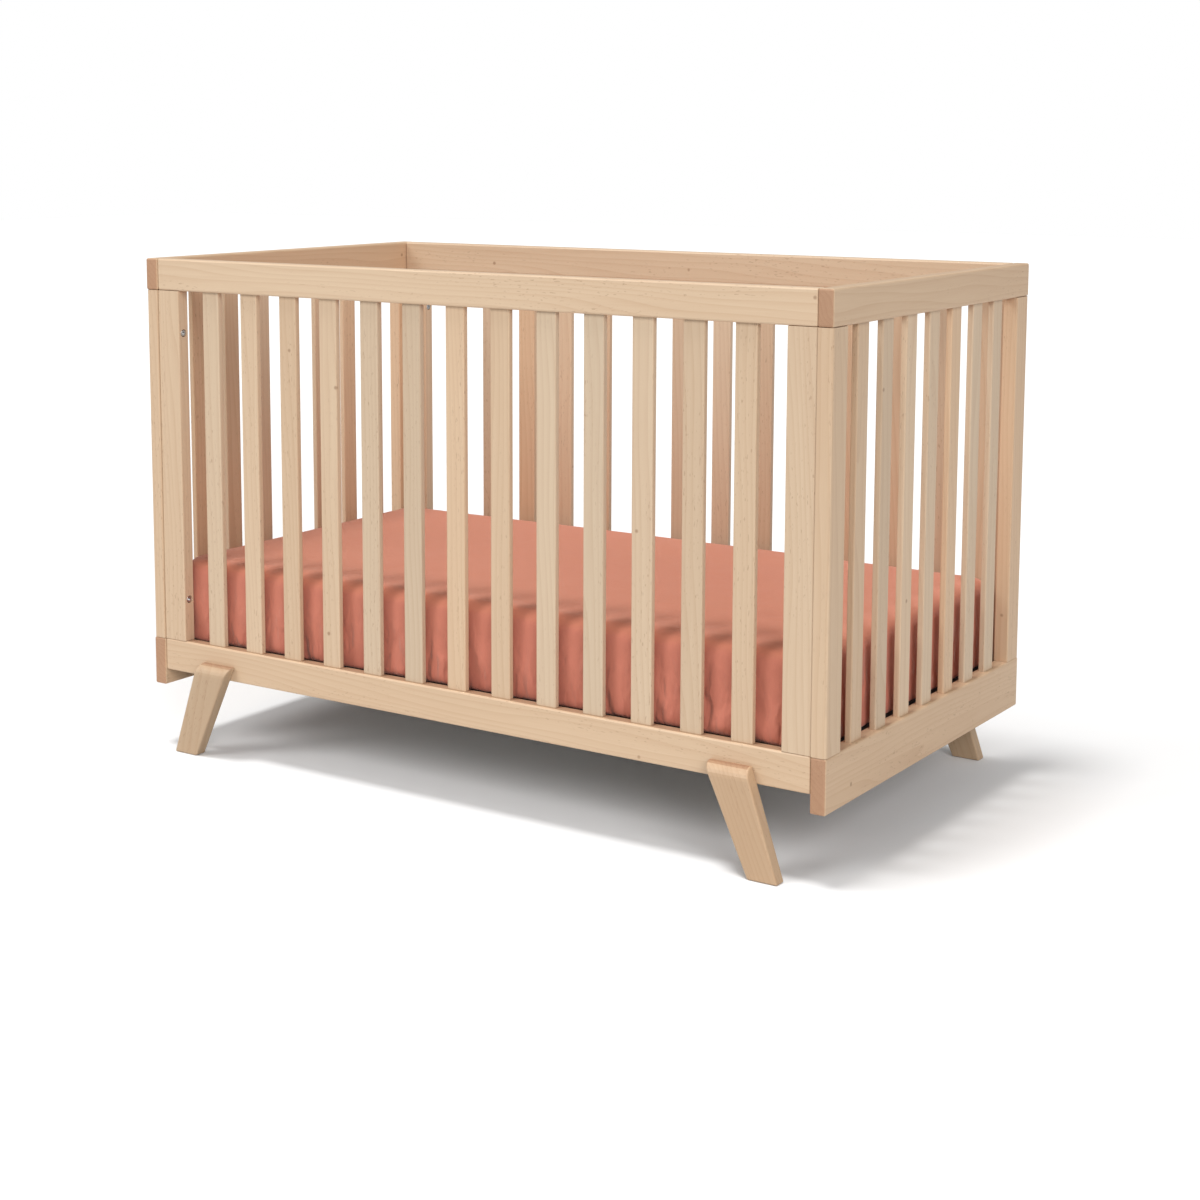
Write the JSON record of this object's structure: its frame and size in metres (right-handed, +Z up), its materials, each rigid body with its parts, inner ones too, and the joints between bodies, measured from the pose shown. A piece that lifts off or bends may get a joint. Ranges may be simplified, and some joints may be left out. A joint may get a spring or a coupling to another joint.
{
  "type": "baby crib",
  "caption": "Full-size baby crib in pale beech with slatted sides and ends, splayed tapered plank legs, a height-adjustable mattress support, and a mattress in a coral fitted sheet.",
  "frame": {"origin": "on the floor, under the middle of the crib", "axes": "+X along the length towards the right end, +Y towards the back, +Z up"},
  "size_m": [1.382, 0.8016, 0.905],
  "materials": {
    "beech": "satin clear lacquer over pale beech",
    "beech_slat": "satin clear lacquer over pale beech",
    "beech_leg": "satin clear lacquer over pale beech",
    "bright_steel": "zinc-plated",
    "dark_frame_paint": "satin powder coat",
    "mattress_cover": "woven cover over foam",
    "coral_cotton": "plain woven cotton"
  },
  "bodies": {
    "crib_frame": {"left_end_top_rail": "beech", "left_end_bottom_rail": "beech", "left_end_front_stile": "beech", "left_end_back_stile": "beech", "left_end_slat_1": "beech_slat", "left_end_slat_2": "beech_slat", "left_end_slat_3": "beech_slat", "left_end_slat_4": "beech_slat", "left_end_slat_5": "beech_slat", "left_end_slat_6": "beech_slat", "left_end_slat_7": "beech_slat", "right_end_top_rail": "beech", "right_end_bottom_rail": "beech", "right_end_front_stile": "beech", "right_end_back_stile": "beech", "right_end_slat_1": "beech_slat", "right_end_slat_2": "beech_slat", "right_end_slat_3": "beech_slat", "right_end_slat_4": "beech_slat", "right_end_slat_5": "beech_slat", "right_end_slat_6": "beech_slat", "right_end_slat_7": "beech_slat", "front_side_top_rail": "beech", "front_side_bottom_rail_and_slats": "beech", "front_side_left_stile": "beech", "front_side_right_stile": "beech", "back_side_top_rail": "beech", "back_side_bottom_rail_and_slats": "beech", "back_side_left_stile": "beech", "back_side_right_stile": "beech", "leg_front_left": "beech_leg", "leg_front_right": "beech_leg", "leg_back_left": "beech_leg", "leg_back_right": "beech_leg", "corner_bolt_front_left_lower": "bright_steel", "corner_bolt_front_left_upper": "bright_steel", "corner_bolt_front_right_lower": "bright_steel", "corner_bolt_front_right_upper": "bright_steel", "corner_bolt_back_left_lower": "bright_steel", "corner_bolt_back_left_upper": "bright_steel", "corner_bolt_back_right_lower": "bright_steel", "corner_bolt_back_right_upper": "bright_steel", "leg_bolt_front_left_inner": "bright_steel", "leg_bolt_front_left_outer": "bright_steel", "leg_bolt_front_right_inner": "bright_steel", "leg_bolt_front_right_outer": "bright_steel", "leg_bolt_back_left_inner": "bright_steel", "leg_bolt_back_left_outer": "bright_steel", "leg_bolt_back_right_inner": "bright_steel", "leg_bolt_back_right_outer": "bright_steel", "support_bolt_front_left": "bright_steel", "support_bolt_front_right": "bright_steel", "support_bolt_back_left": "bright_steel", "support_bolt_back_right": "bright_steel"},
    "mattress_support": {"support_frame": "dark_frame_paint", "support_bracket_left": "dark_frame_paint", "support_bracket_right": "dark_frame_paint"},
    "mattress": {"mattress": "mattress_cover", "fitted_sheet": "coral_cotton"}
  },
  "joints": [
    {"name": "support_height", "type": "slide", "parent": "crib_frame", "child": "mattress_support", "axis": [0, 0, 1], "range_m": [0, 0.286]},
    {"name": "mattress_lift_out", "type": "slide", "parent": "mattress_support", "child": "mattress", "axis": [0, 0, 1], "range_m": [0, 0.72]}
  ]
}
